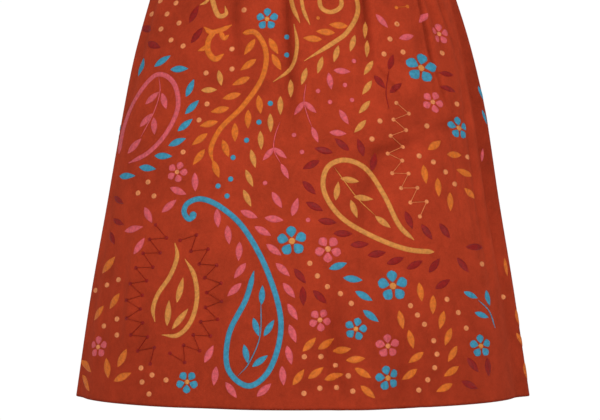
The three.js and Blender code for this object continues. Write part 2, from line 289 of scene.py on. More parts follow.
def make_piece(name, points, quads, material, uv=None, shade=None, body="skirt"):
    """An object from points in metres and quads; uv and shade are given for each point."""
    mesh = bpy.data.meshes.new(name)
    mesh.vertices.add(len(points))
    mesh.vertices.foreach_set("co", np.ascontiguousarray(points, np.float32).ravel())
    mesh.loops.add(quads.size)
    mesh.loops.foreach_set("vertex_index", quads.astype(np.int32).ravel())
    mesh.polygons.add(len(quads))
    mesh.polygons.foreach_set("loop_start", np.arange(0, quads.size, 4, dtype=np.int32))
    mesh.update(calc_edges=True)
    mesh.polygons.foreach_set("use_smooth", np.ones(len(quads), bool))
    if uv is not None:
        layer = mesh.uv_layers.new(name="UVMap")
        layer.data.foreach_set("uv", uv[quads.ravel()].astype(np.float32).ravel())
    if shade is not None:
        attribute = mesh.attributes.new("shade", "FLOAT", "POINT")
        attribute.data.foreach_set("value", shade.astype(np.float32))
    mesh.validate()
    piece = bpy.data.objects.new(name, mesh)
    bpy.context.scene.collection.objects.link(piece)
    mesh.materials.append(material)
    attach(piece, body)
    return piece


def area_of(piece):
    """The area of a piece's faces in square metres."""
    areas = np.zeros(len(piece.data.polygons))
    piece.data.polygons.foreach_get("area", areas)
    return float(areas.sum())


# %% [markdown]
# ## Suede
#
# Suede is leather worn flesh side out: a short, soft nap that has no highlight but glows a
# little where it is seen edge on. Dye takes unevenly, hands and seams darken it, and the nap
# lies one way here and another way there. So the colour is a mix of cloudy noise at three
# scales, a sheen stands for the nap, and a fine bump for its grain. The finished hem and the
# seams carry a darker line. Painted shade darkens the folds, the creases, a band before the
# right seam and the skirt towards the hem. All of this is painted on the mesh itself as a
# shade attribute.

# %% Node helpers


def new_material(name):
    """An empty node material with its shader, and a function that adds and links nodes."""
    material = bpy.data.materials.new(name)
    material.use_nodes = True
    tree = material.node_tree
    shader = tree.nodes["Principled BSDF"]

    def add(kind, values=None, **settings):
        node = tree.nodes.new(kind)
        for key, value in settings.items():
            setattr(node, key, value)
        for key, value in (values or {}).items():
            if isinstance(value, bpy.types.NodeSocket):
                tree.links.new(value, node.inputs[key])
            else:
                node.inputs[key].default_value = value
        return node

    return material, shader, add, tree.links.new


def cloudy(add, place, scale, detail=3.0):
    """Noise from 0 to 1 on a position, with clouds about 1/scale metres across."""
    noise = add("ShaderNodeTexNoise", {"Vector": place, "Scale": scale, "Detail": detail})
    return noise.outputs[0]


def ramp_between(add, factor, low, high):
    """A value that runs from low to high as a noise goes through its usual range."""
    values = {"Value": factor, "From Min": 0.3, "From Max": 0.7, "To Min": low, "To Max": high}
    return add("ShaderNodeMapRange", values).outputs["Result"]


def darkened(add, colour, share, tint):
    """A colour multiplied by a tint, as far as the share says."""
    mix = add("ShaderNodeMix", {0: share, 6: colour, 7: (*tint, 1)}, data_type="RGBA",
              blend_type="MULTIPLY")
    return mix.outputs[2]


def set_inputs(shader, **values):
    """Sets a shader's inputs; an underscore in a name stands for a space."""
    for name, value in values.items():
        shader.inputs[name.replace("_", " ")].default_value = value


# %% Suede material
SUEDE = (0.365, 0.0375, 0.0133)
CLOUDS = ((16, 0.25), (60, 0.25), (260, 0.2), (900, 0.3))  # scale of a noise, and its share


def suede_material():
    material, shader, add, link = new_material("suede")
    place = add("ShaderNodeTexCoord").outputs["Object"]
    total = None
    for scale, share in CLOUDS:
        noise = ramp_between(add, cloudy(add, place, scale, 3), 0.0, share)
        if total is None:
            total = noise
        else:
            total = add("ShaderNodeMath", {0: total, 1: noise}, operation="ADD").outputs[0]
    colours = add("ShaderNodeValToRGB", {0: total})
    dark, light = (tuple(c * k for c in SUEDE) for k in (0.72, 1.28))
    colours.color_ramp.elements[0].position = 0.1
    colours.color_ramp.elements[0].color = (*dark, 1)
    colours.color_ramp.elements[1].position = 0.9
    colours.color_ramp.elements[1].color = (*light, 1)
    # the shade attribute: darker seams and hem edge, and painted shade in folds, creases, beside
    # the right seam and towards the hem
    wear_and_shade = add("ShaderNodeAttribute", attribute_name="shade").outputs[2]
    darker = darkened(add, colours.outputs["Color"], wear_and_shade, (0.30, 0.22, 0.22))
    link(darker, shader.inputs["Base Color"])
    set_inputs(shader, Roughness=0.95, Specular_IOR_Level=0.05, Sheen_Weight=0.14,
               Sheen_Roughness=0.5, Sheen_Tint=(1.0, 0.16, 0.07, 1))
    nap = add("ShaderNodeMath", {0: cloudy(add, place, 420, 3), 1: total}, operation="ADD")
    bump = add("ShaderNodeBump", {"Height": nap.outputs[0], "Strength": 0.3, "Distance": 0.0006})
    link(bump.outputs["Normal"], shader.inputs["Normal"])
    return material


suede = suede_material()
print("suede has", len(suede.node_tree.nodes), "nodes")

# %% [markdown]
# ## Panels
#
# A panel is a closed wall: an outer skin, an inner skin and a rim. Blender's Solidify could
# give the thickness, but the hem is turned up inside and lies double there, so both skins are
# worked out here. The last two millimetres of the outer skin roll under, which gives the hem
# its soft folded edge.

# %% Panel shells
LEATHER = 1.8
HEM_TURN = 32.0
HEM_DOUBLE = 3.4
HEM_STEP = 3.0
HEM_ROLL = 1.7
SEAM_GAP = 0.04
TUCKED = 1.5  # how far the panels run up inside the folded band
ZIP_LENGTH = 205.0
ZIP_OPENING = 13.0
ZIP_CLOSE = 6.0
PANEL_TOP = BAND_HEIGHT + SEAM_GAP
CENTRE_BACK = math.pi
SEAM_LINE = 5.0  # leather this near a seam is pressed and a little darker
SIDE_SHADE = 0.4  # painted shade on the band that turns away from the light just before the right seam
SIDE_SHADE_FROM = (80.5, 83.0)  # degrees over which that painted shade sets in
FOLD_DARKEST = 9.0  # painted shade is darkest in a fold as deep as this
CREASE_DARKEST = 4.5  # the same for the finer creases
# strengths of the darker seam and hem lines, and of the painted shade in folds, creases and towards
# the hem
SEAM_SHADE, HEM_SHADE, FOLD_SHADE, CREASE_SHADE, TOWARDS_HEM_SHADE = 0.55, 0.9, 0.42, 0.5, 0.2
HEM_EDGE = (3.4, 0.4)  # the hem's edge darkens from the first height over it to the second
SIDE_SHADE_STARTS, SIDE_SHADE_ENDS = (60, 220), (430, 600)  # heights over which it sets in and fades
SIDE_SHADE_FADES = 0.78
# painted shade, darker towards the hem, sets in between these heights
TOWARDS_HEM_FROM = (520, 760)
INNER_ROLL = 0.4  # the inner skin follows the hem's roll by this share


def panel_rows():
    """Heights from the band to the hem, close together where the hem rolls under."""
    fold_top = LENGTH - HEM_TURN
    body = np.linspace(PANEL_TOP - TUCKED, fold_top - HEM_STEP, 172)
    hem = np.linspace(fold_top - HEM_STEP, LENGTH - HEM_ROLL, 14)[1:]
    quarter = np.linspace(0, math.pi / 2, 6)[1:]
    roll = LENGTH - HEM_ROLL * (1 - np.sin(quarter))
    return np.concatenate([body, hem, roll])


def rolled(below):
    """How far the outer skin draws in at the hem: a quarter circle of radius HEM_ROLL."""
    over = np.clip(below - (LENGTH - HEM_ROLL), 0, HEM_ROLL)
    return HEM_ROLL - np.sqrt(np.maximum(HEM_ROLL**2 - over**2, 0))


def wall_shell(angles, below, outer, inner):
    """Points and quads of a closed wall over a grid of angles and heights."""
    rows, columns = angles.shape
    skin = rows * columns
    points = np.concatenate([
        leather(angles, below, outer).reshape(-1, 3),
        leather(angles, below, inner).reshape(-1, 3),
    ])
    front = grid_faces(rows, columns)
    back = grid_faces(rows, columns, skin)[:, ::-1]
    index = np.arange(skin).reshape(rows, columns)
    loop = np.concatenate([index[:, 0], index[-1, 1:], index[-2::-1, -1], index[0, -2:0:-1]])
    following = np.roll(loop, -1)
    rim = np.stack([loop, loop + skin, following + skin, following], -1)
    return points, np.concatenate([front, back, rim])


def panel(name, node, columns, edges):
    """One panel of the skirt: edges(below) gives its first and last angle at each height."""
    rows = panel_rows()
    first, last = edges(rows)
    share = np.linspace(0, 1, columns)[None, :]
    angles = first[:, None] + (last - first)[:, None] * share
    below = np.broadcast_to(rows[:, None], angles.shape)
    double = smooth_step(below, LENGTH - HEM_TURN - HEM_STEP, LENGTH - HEM_TURN)
    outer = -rolled(below)
    inner = -(LEATHER + (HEM_DOUBLE - LEATHER) * double) + INNER_ROLL * rolled(below)
    points, quads = wall_shell(angles, below, outer, inner)
    scale = length_per_radian(angles, below)
    from_first = (angles - first[:, None]) * scale
    from_last = (last[:, None] - angles) * scale
    near = np.minimum(from_first, from_last)
    line = SEAM_SHADE * np.exp(-((near / SEAM_LINE) ** 2))
    edge = HEM_SHADE * smooth_step(below, LENGTH - HEM_EDGE[0], LENGTH - HEM_EDGE[1])
    # painted shade in the folds and creases
    sunk = -fold_relief(angles, below) / FOLD_DARKEST
    hollow = FOLD_SHADE * np.clip(sunk, 0, 1) ** 2
    sunk = -fold_relief(angles, below, CREASES) / CREASE_DARKEST
    crease = CREASE_SHADE * np.clip(sunk, 0, 1) ** 1.5
    # painted shade on the band before the right seam, which turns away from the light
    turned = SIDE_SHADE * smooth_step(np.degrees(angles), *SIDE_SHADE_FROM)
    turned = turned * (angles < math.pi / 2) * smooth_step(below, *SIDE_SHADE_STARTS)
    turned = turned * (1 - SIDE_SHADE_FADES * smooth_step(below, *SIDE_SHADE_ENDS))
    # painted shade, darker towards the hem
    wear_and_shade = TOWARDS_HEM_SHADE * smooth_step(below, *TOWARDS_HEM_FROM)
    shade = np.max([line, edge, hollow, crease, turned + wear_and_shade], axis=0).ravel()
    uv = np.stack([(angles * scale).ravel(), below.ravel()], -1)
    piece = make_piece(
        name, points, quads, suede, np.tile(uv, (2, 1)), np.tile(shade, 2)
    )
    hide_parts(node)
    print(name, "shows", round(area_of(piece) / 2, 3), "square metres")
    return piece


def side_gap(below):
    return SEAM_GAP / 2 / length_per_radian(math.pi / 2, below)


def back_gap(below):
    """Half the gap at the centre back, as an angle: the zip's opening, then the seam."""
    closed = smooth_step(below, ZIP_LENGTH - ZIP_CLOSE, ZIP_LENGTH)
    gap = ZIP_OPENING + (SEAM_GAP - ZIP_OPENING) * closed
    return gap / 2 / length_per_radian(math.pi, below)


def front_edges(below):
    return -math.pi / 2 + side_gap(below), math.pi / 2 - side_gap(below)


def right_edges(below):
    return math.pi / 2 + side_gap(below), math.pi - back_gap(below)


def left_edges(below):
    return -math.pi + back_gap(below), -math.pi / 2 - side_gap(below)


front_shell = panel("front_shell", "front_panel", 216, front_edges)
right_shell = panel("back_shell_right", "back_panel_right", 110, right_edges)
left_shell = panel("back_shell_left", "back_panel_left", 110, left_edges)

# %% [markdown]
# ## Waistband
#
# A waistband is a strip folded double over the raw top of the panels and stitched through. It
# is one wall with a rounded top and foot, from one side of the zip round to the other.

# %% Waistband shell
BAND_PROUD = 0.6
BAND_THICK = 2.7
BAND_ROUND = 1.2
BAND_RIM_SHADE = 0.45


def band_shell():
    """The band's wall: its outer and inner skins draw in by a quarter circle at both rims."""
    turn = np.sin(np.linspace(-math.pi / 2, math.pi / 2, 25))
    rows = BAND_HEIGHT / 2 * (1 + turn)
    end = math.pi - ZIP_OPENING / 2 / length_per_radian(math.pi, 0)
    angles = np.broadcast_to(np.linspace(-end, end, 300)[None, :], (len(rows), 300))
    below = np.broadcast_to(rows[:, None], angles.shape)
    from_rim = np.clip(np.minimum(below, BAND_HEIGHT - below), 0, BAND_ROUND)
    drawn = BAND_ROUND - np.sqrt(BAND_ROUND**2 - (BAND_ROUND - from_rim) ** 2)
    points, quads = wall_shell(angles, below, BAND_PROUD - drawn, BAND_PROUD - BAND_THICK + drawn)
    scale = length_per_radian(angles, below)
    uv = np.stack([(angles * scale).ravel(), below.ravel()], -1)
    rim = BAND_RIM_SHADE * (1 - smooth_step(from_rim, 0, BAND_ROUND)).ravel()
    piece = make_piece(
        "waistband_shell", points, quads, suede, np.tile(uv, (2, 1)), np.tile(rim, 2)
    )
    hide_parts("waistband")
    return piece


waistband_shell = band_shell()

# %% [markdown]
# ## Thread
#
# Satin stitch is many threads laid side by side across a shape, so it shines in a band and
# shows a fine rib. The rib follows the piece, so it is read from the UV map, whose numbers are
# millimetres along and across. Each colour of thread has a little of its neighbours' shade in
# it, as real thread does where it turns.

# %% Thread materials
THREADS = {
    "gold": (0.720, 0.275, 0.052),
    "orange": (0.740, 0.165, 0.0095),
    "pink": (0.740, 0.108, 0.130),
    "blue": (0.044, 0.300, 0.460),
    "burgundy": (0.285, 0.003, 0.0),
    "peach": (0.830, 0.270, 0.090),
}
THREAD_PITCH = 0.55  # one thread and the groove beside it, in millimetres
WAVE_BANDS = 20  # Blender's wave texture has a band every 2 pi / 20 at a scale of 1


def thread_material(name, colour):
    material, shader, add, link = new_material("thread_" + name)
    uv = add("ShaderNodeUVMap", uv_map="UVMap").outputs["UV"]
    slanted = add("ShaderNodeMapping", {"Vector": uv})
    slanted.inputs["Rotation"].default_value = (0, 0, math.radians(18))
    rib = add("ShaderNodeTexWave", {"Vector": slanted.outputs[0]}, wave_type="BANDS",
              bands_direction="X", wave_profile="SIN")
    rib.inputs["Scale"].default_value = 2 * math.pi / THREAD_PITCH / WAVE_BANDS
    rib.inputs["Distortion"].default_value = 0.6
    rib.inputs["Detail"].default_value = 1.0
    place = add("ShaderNodeTexCoord").outputs["Object"]
    mottle = ramp_between(add, cloudy(add, place, 260, 2), 0.0, 1.0)
    turned = ramp_between(add, cloudy(add, place, 60, 2), 0.0, 1.0)
    colours = add("ShaderNodeValToRGB", {0: mottle})
    dark, light = (tuple(min(1, c * k) for c in colour) for k in (0.80, 1.16))
    colours.color_ramp.elements[0].color = (*dark, 1)
    colours.color_ramp.elements[1].color = (*light, 1)
    shadow = add("ShaderNodeMath", {0: rib.outputs[1], 1: -0.45, 2: 0.45}, operation="MULTIPLY_ADD")
    groove = darkened(add, colours.outputs["Color"], shadow.outputs[0], (0.45, 0.35, 0.35))
    # painted shade round the rim of each stitched shape
    painted_rim_shade = add("ShaderNodeAttribute", attribute_name="shade").outputs[2]
    link(darkened(add, groove, painted_rim_shade, (0.42, 0.25, 0.25)), shader.inputs["Base Color"])
    rough = add("ShaderNodeMapRange", {"Value": turned, "To Min": 0.42, "To Max": 0.62})
    link(rough.outputs["Result"], shader.inputs["Roughness"])
    set_inputs(shader, Specular_IOR_Level=0.25)
    bump = add("ShaderNodeBump", {"Height": rib.outputs[1], "Strength": 0.5, "Distance": 0.0003})
    link(bump.outputs["Normal"], shader.inputs["Normal"])
    return material


thread_materials = {name: thread_material(name, colour) for name, colour in THREADS.items()}
print("threads:", ", ".join(THREADS))

# %% [markdown]
# ## The embroiderer's chart
#
# The design is drawn on a chart of squares, 600 across and 420 down, which are the picture's own
# points: its places were read off the picture. It is thrown onto the worn front like a
# slide from where the camera stands, and `spot` finds where on the leather a square falls. A
# leaf or a petal is then laid round its own spot in millimetres, and wider where the leather
# turns away, so that it looks whole from in front. The back has the same design turned half
# round, a little closer to the middle, and none of it over the zip.

# %% From the chart to the leather
CHART_MIDDLE = (PICTURE_WIDTH / 2, PICTURE_HEIGHT / 2)
BACK_SQUEEZE = 0.92
ZIP_CLEAR = 24.0
SPOT_STEPS = 14
SPOT_WIDTH, SPOT_DEPTH = 240, -150.0  # a rough skirt, from which the search starts
SPOT_SHARE = 0.8  # of what is missing, made up in one step
LEAST_SPEED = 60  # keeps a step small where the leather is seen edge on
EDGE_ON = 1.56


def spot(x, y, behind=False):
    """Angle and height of a chart square: the sight line is met with the leather by steps."""
    x, y = np.broadcast_arrays(np.asarray(x, float), np.asarray(y, float))
    right = (x - CHART_MIDDLE[0]) * (-BACK_SQUEEZE if behind else 1)
    angle = np.arcsin(np.clip(right / SPOT_WIDTH, -0.95, 0.95))
    depth = np.full(x.shape, SPOT_DEPTH)
    for _ in range(SPOT_STEPS):
        scale = SQUARE * (VIEW_DISTANCE + depth) / VIEW_DISTANCE
        below = GRIP - CAMERA_Z + (y - CHART_MIDDLE[1]) * scale
        point = outside(math.pi - angle if behind else angle, below)
        speed = np.maximum(section(below)["half_width"] * np.cos(angle), LEAST_SPEED)
        missing = right * scale + CAMERA_RIGHT - point[..., 0]
        angle = np.clip(angle + SPOT_SHARE * missing / speed, -EDGE_ON, EDGE_ON)
        depth = point[..., 1] * (-1 if behind else 1)
    return (math.pi - angle if behind else angle), below


def clear_of_zip(angle, below):
    """True where a stitch may go: not over the zip, the waistband or the hem's fold."""
    middle = np.abs(turn_from(math.pi, angle))
    over_zip = (middle * length_per_radian(angle, below) < ZIP_CLEAR) & (below < ZIP_LENGTH + 14)
    return ~over_zip & (below > BAND_HEIGHT + 6) & (below < LENGTH - 3)


def smooth_path(points, steps=14):
    """A Catmull-Rom curve through a few points: each stretch is a cubic of its four nearest."""
    p = np.array(points, float)
    p = np.vstack([2 * p[0] - p[1], p, 2 * p[-1] - p[-2]])
    t = np.linspace(0, 1, steps, endpoint=False)[:, None, None]
    a, b, c, d = p[:-3], p[1:-2], p[2:-1], p[3:]
    curve = 0.5 * (
        2 * b + (c - a) * t + (2 * a - 5 * b + 4 * c - d) * t**2 + (3 * b - a - 3 * c + d) * t**3
    )
    return np.vstack([np.swapaxes(curve, 0, 1).reshape(-1, 2), p[-2]])


def along_path(points, shares):
    """Points and directions at shares of a smooth path's length."""
    curve = smooth_path(points)
    steps = np.linalg.norm(np.diff(curve, axis=0), axis=1)
    length = np.concatenate([[0], np.cumsum(steps)])
    wanted = np.asarray(shares, float) * length[-1]
    places = np.stack([np.interp(wanted, length, curve[:, k]) for k in (0, 1)], -1)
    nudge = 0.01 * length[-1]
    ahead = np.stack([np.interp(wanted + nudge, length, curve[:, k]) for k in (0, 1)], -1)
    behind = np.stack([np.interp(wanted - nudge, length, curve[:, k]) for k in (0, 1)], -1)
    return places, np.arctan2(*(ahead - behind).T[::-1])


# %% [markdown]
# ## Stitched shapes
#
# Four shapes make the whole design: a leaf, a round petal, a dot and a long stroke. Each is a
# small grid with a padded crown. A list for each colour gathers them, and one mesh is made of
# each list at the end.

# %% Grids of the four shapes
RISE = 0.75  # crown of the padding over the leather
SUNK = -0.12  # the edge of the stitches pulls into the nap
FULLEST = 2.2  # how much wider than true a motif may be
STROKE_FULLEST = 3.2  # and a stroke
FULLER_STEP = 0.02
RIM_SHADE = 0.6  # how dark the painted shade round each shape's pulled-in rim is
sewn = {name: {"points": [], "quads": [], "uv": [], "shade": [], "count": 0} for name in THREADS}


def crown(across, ends):
    """Height of the padding: a flattened arch across, dropping at both ends."""
    return SUNK + (RISE - SUNK) * np.sqrt(np.clip(1 - across**2, 0, 1)) * ends


def blunt(u):
    """The padding's drop at both ends of a shape: steep, and not quite to nothing."""
    return np.sin(math.pi * np.clip(u, 0.02, 0.98)) ** 0.35


def leaf_grid(length, width, rows=13, columns=7):
    """A leaf: half width = sin(pi u^0.9)^0.85, widest just before its middle."""
    u = np.linspace(0, 1, rows)[:, None]
    v = np.linspace(-1, 1, columns)[None, :]
    half = width / 2 * np.sin(math.pi * u**0.9) ** 0.85
    height = crown(v, blunt(u))
    return (u - 0.5) * length + 0 * v, half * v, height


def petal_grid(length, width, rows=9, columns=7):
    """A petal from its root outwards: an egg, half width = sin(pi u^1.35)^0.6."""
    u = np.linspace(0, 1, rows)[:, None]
    v = np.linspace(-1, 1, columns)[None, :]
    half = width / 2 * np.sin(math.pi * u**1.35) ** 0.6 + 0 * v
    height = crown(v, blunt(u))
    return u * length + 0 * v, half * v, height


def dot_grid(radius, rows=5, columns=13):
    """A dot: rings round a middle that the needle has pulled in."""
    r = np.linspace(0, 1, rows)[:, None]
    turn = np.linspace(0, 2 * math.pi, columns)[None, :]
    height = crown(r + 0 * turn, 1.0) - 0.25 * np.exp(-((r / 0.3) ** 2))
    return radius * r * np.cos(turn), radius * r * np.sin(turn), height


def keep_grids(colour, angle, below, out, uv, shape, anywhere=False):
    """Adds grids to a colour's list. The arrays are (grids, rows times columns)."""
    good = np.full(len(angle), True) if anywhere else clear_of_zip(angle, below).all(axis=1)
    grids, size = int(good.sum()), shape[0] * shape[1]
    if grids == 0:
        return
    into = sewn[colour]
    starts = into["count"] + np.arange(grids)[:, None, None] * size
    into["points"].append(leather(angle[good], below[good], out[good]).reshape(-1, 3))
    into["quads"].append((grid_faces(*shape)[None] + starts).reshape(-1, 4))
    into["uv"].append(uv[good].reshape(-1, 2))
    # painted shade round each shape's rim, where it sinks into the nap
    into["shade"].append(RIM_SHADE * (1 - smooth_step(out[good].ravel(), SUNK, SUNK + 0.4)))
    into["count"] += grids * size


def fuller(angle, below, most=FULLEST):
    """How much wider a motif is stitched where the leather turns away, so that it looks whole."""
    apart = outside(angle + FULLER_STEP, below) - outside(angle - FULLER_STEP, below)
    seen = np.abs(apart)[..., 0] / (2 * FULLER_STEP)
    return np.clip(length_per_radian(angle, below) / np.maximum(seen, 1), 0.9, most)


def lay(colour, grid, angle, below, turn, lift=0.0, anywhere=False):
    """Lays copies of a grid round spots on the leather, each turned by its own angle."""
    x, y, out = (np.broadcast_to(part, grid[0].shape) for part in grid)
    shape = x.shape
    x, y, out = (part.ravel()[None, :] for part in (x, y, out))
    places = (angle, below, turn)
    angle, below, turn = (np.atleast_1d(part).astype(float)[:, None] for part in places)
    stretch = 1.0 if anywhere else fuller(angle, below)
    east = (x * np.cos(turn) - y * np.sin(turn)) * stretch
    south = x * np.sin(turn) + y * np.cos(turn)
    scale = length_per_radian(angle, below)
    uv = np.broadcast_to(np.stack([x[0], y[0]], -1), (len(angle), x.size, 2))
    height = np.broadcast_to(out + lift, east.shape)
    keep_grids(colour, angle + east / scale, below + south, height, uv, shape, anywhere)


def stroke(colour, points, width, behind=False, taper=(0.18, 0.18), rise=1.0):
    """A satin cord along a smooth path: its width swells from nothing over taper at each end."""
    curve = smooth_path(points, 10)
    angle, below = spot(curve[:, 0], curve[:, 1], behind)
    scale = length_per_radian(angle, below)
    turns = np.unwrap(angle)
    east, south = np.gradient(turns) * scale, np.gradient(below)
    speed = np.maximum(np.hypot(east, south), 1e-6)
    share = np.concatenate([[0], np.cumsum((speed[1:] + speed[:-1]) / 2)])
    along = share / share[-1]
    start, end = (max(part, 0.001) for part in taper)
    swell = smooth_step(along, -0.35 * start, start) * smooth_step(1 - along, -0.35 * end, end)
    v = np.linspace(-1, 1, 7)[None, :]
    half = (width * SQUARE / 2 * swell)[:, None] * v
    fuller_half = half * fuller(angle, below, STROKE_FULLEST)[:, None]
    spread_angle = turns[:, None] - fuller_half * (south / speed / scale)[:, None]
    spread_below = below[:, None] + half * (east / speed)[:, None]
    out = rise * crown(v, np.ones(len(curve))[:, None])
    uv = np.stack([share[:, None] + 0 * v, half], -1)
    flat = [part.reshape(1, -1) for part in (spread_angle, spread_below, out)]
    keep_grids(colour, *flat, uv.reshape(1, -1, 2), spread_angle.shape)


# %% [markdown]
# ## Motifs
#
# The motifs are the old, common ones of paisley work. A row of leaves follows a path, each
# leaf leaning by the same angle. A flower is five petals round an eye, gold in a blue flower
# and peach in a pink one. A sprig is a thin stem with paired leaves, a chain is dots that step
# from side to side on a thread.

# %% Rows, flowers, sprigs and chains
LEAF_LONG, LEAF_WIDE = 24.5, 9.6
DOT_RADIUS = 3.7
STEM_WIDTH = 1.0
PETAL_LONG, PETAL_WIDE, EYE = 0.78, 0.74, 0.24  # as shares of a flower's radius


def leaf_row(colour, points, count, lean, behind, size=1.0, swing=0.0, slim=1.0):
    """Leaves at even steps of a path; lean turns each from the path, swing alternates it."""
    shares = (np.arange(count) + 0.5) / count
    places, direction = along_path(points, shares)
    angle, below = spot(places[:, 0], places[:, 1], behind)
    tilt = np.radians(lean + swing * (-1.0) ** np.arange(count))
    grid = leaf_grid(LEAF_LONG * size, LEAF_WIDE * size * slim)
    lay(colour, grid, angle, below, direction + tilt)


def leaves(colour, table, behind, size=1.0, slim=1.0):
    """Single leaves: each row of the table is a leaf's place and its turn in degrees."""
    across, down, turn = np.array(table, float).T
    angle, below = spot(across, down, behind)
    grid = leaf_grid(LEAF_LONG * size, LEAF_WIDE * size * slim)
    lay(colour, grid, angle, below, np.radians(turn))


def dots(colour, points, count, behind, size=1.0):
    """Dots at even steps of a path, or one dot at each point where count is 0."""
    places = along_path(points, (np.arange(count) + 0.5) / count)[0] if count else np.array(points)
    angle, below = spot(places[:, 0], places[:, 1], behind)
    lay(colour, dot_grid(DOT_RADIUS * size), angle, below, 0 * angle)


def flower(colour, angle, below, radius, turn):
    """Five petals round an eye; turn is the first petal's direction in degrees."""
    reach = radius * SQUARE
    x_part, y_part, out = petal_grid(PETAL_LONG * reach, PETAL_WIDE * reach)
    grid = (x_part + EYE * reach, y_part, out)
    turns = np.radians(turn + 72 * np.arange(5))
    lay(colour, grid, np.full(5, float(angle)), np.full(5, float(below)), turns)
    lay("gold" if colour == "blue" else "peach", dot_grid(EYE * reach), angle, below, 0.0)


def sprig(colour, points, share, behind, size=0.85, spread=38):
    """A stem with two leaves at a share of its length, and one beyond its tip."""
    stroke(colour, points, STEM_WIDTH, behind)
    length = 0.5 * LEAF_LONG * size / SQUARE
    places, direction = along_path(points, [share, share, 1.0])
    lean = direction + np.radians([-spread, spread, 0])
    places = places + np.stack([np.cos(lean), np.sin(lean)], -1) * length
    angle, below = spot(*places.T, behind)
    lay(colour, leaf_grid(LEAF_LONG * size, LEAF_WIDE * size * 0.9), angle, below, lean)


def dot_chain(colour, points, count, swing, behind, size=0.8, thread=0.6):
    """Dots that step from side to side of a path, a short thread from each to the next."""
    places, direction = along_path(points, (np.arange(count) + 0.5) / count)
    side = swing * (-1.0) ** np.arange(count)
    zigzag = places + np.stack([-np.sin(direction), np.cos(direction)], -1) * side[:, None]
    dots(colour, zigzag, 0, behind, size)
    for start, end in zip(zigzag[:-1], zigzag[1:]):
        stroke(colour, [start, (start + end) / 2, end], thread, behind, (0.02, 0.02), 1.4)


print("shapes and motifs are ready")

# %% [markdown]
# ## The design
#
# Three large paisleys lean across the front, one in each main colour, with an open flame
# beside them and scrolls above. Rows of leaves echo each outline, and dots, flowers and
# sprigs fill what is left. Each group is a function, called for the front and again for the
# back. Behind the side seams, where neither chart reaches, strips of leaves, dots and flowers
# join the two.

# %% Paisleys


def paisleys(behind):
    # blue: a curled tail, a long drop, an open mouth
    stroke("blue", [(195, 215), (189, 219), (184, 212), (188, 203), (202, 199), (222, 208),
                    (245, 230), (268, 273), (281, 323), (271, 367), (249, 386), (228, 369),
                    (229, 334), (246, 299), (254, 271)], 5.6, behind, (0, 0.03))
    dots("blue", [(193, 215)], 0, behind, 1.35)
    stroke("blue", [(238, 376), (249, 363), (260, 336), (261, 300)], STEM_WIDTH, behind)
    leaves("blue", [(262, 295, -88), (256, 327, 72), (269, 328, -58)], behind, 1.0, 0.9)
    leaves("blue", [(246, 354, 76), (260, 361, -36)], behind, 1.0, 0.9)
    # gold: it leans back, both tails run to the right
    stroke("gold", [(434, 252), (406, 249), (372, 236), (341, 217), (324, 191), (327, 168),
                    (345, 160), (366, 169), (384, 195), (399, 225), (414, 240)],
           5.2, behind, (0.02, 0.04))
    stroke("gold", [(334, 167), (345, 182), (359, 200), (376, 216)], STEM_WIDTH, behind)
    leaves("gold", [(350, 180, 10), (337, 191, -80), (363, 198, 8)], behind, 1.0, 0.9)
    leaves("gold", [(354, 209, 72), (383, 222, 38)], behind, 1.0, 0.9)
    # pink: it hangs over the left side, both tails run round it
    stroke("pink", [(119, 154), (124, 127), (136, 98), (156, 75), (173, 82), (178, 106),
                    (167, 132), (149, 152), (129, 163)], 5.0, behind, (0.03, 0.08))
    stroke("pink", [(159, 77), (160, 92), (154, 112), (141, 137)], STEM_WIDTH, behind)
    leaves("pink", [(152, 98, -42), (164, 101, 68), (146, 120, -48), (154, 126, 80)], behind, 0.95)
    leaves("pink", [(134, 146, -48)], behind, 1.05)
    # the open flame of two strokes, and three leaves in it
    stroke("gold", [(175, 243), (177, 257), (170, 276), (158, 294), (153, 309), (155, 322)],
           4.8, behind)
    stroke("gold", [(185, 259), (194, 275), (197, 298), (191, 321), (178, 335), (162, 335)],
           4.8, behind)
    leaves("gold", [(180, 290, -80), (168, 313, -90), (180, 319, -54)], behind, 1.36, 0.68)


# %% Scrolls and branches


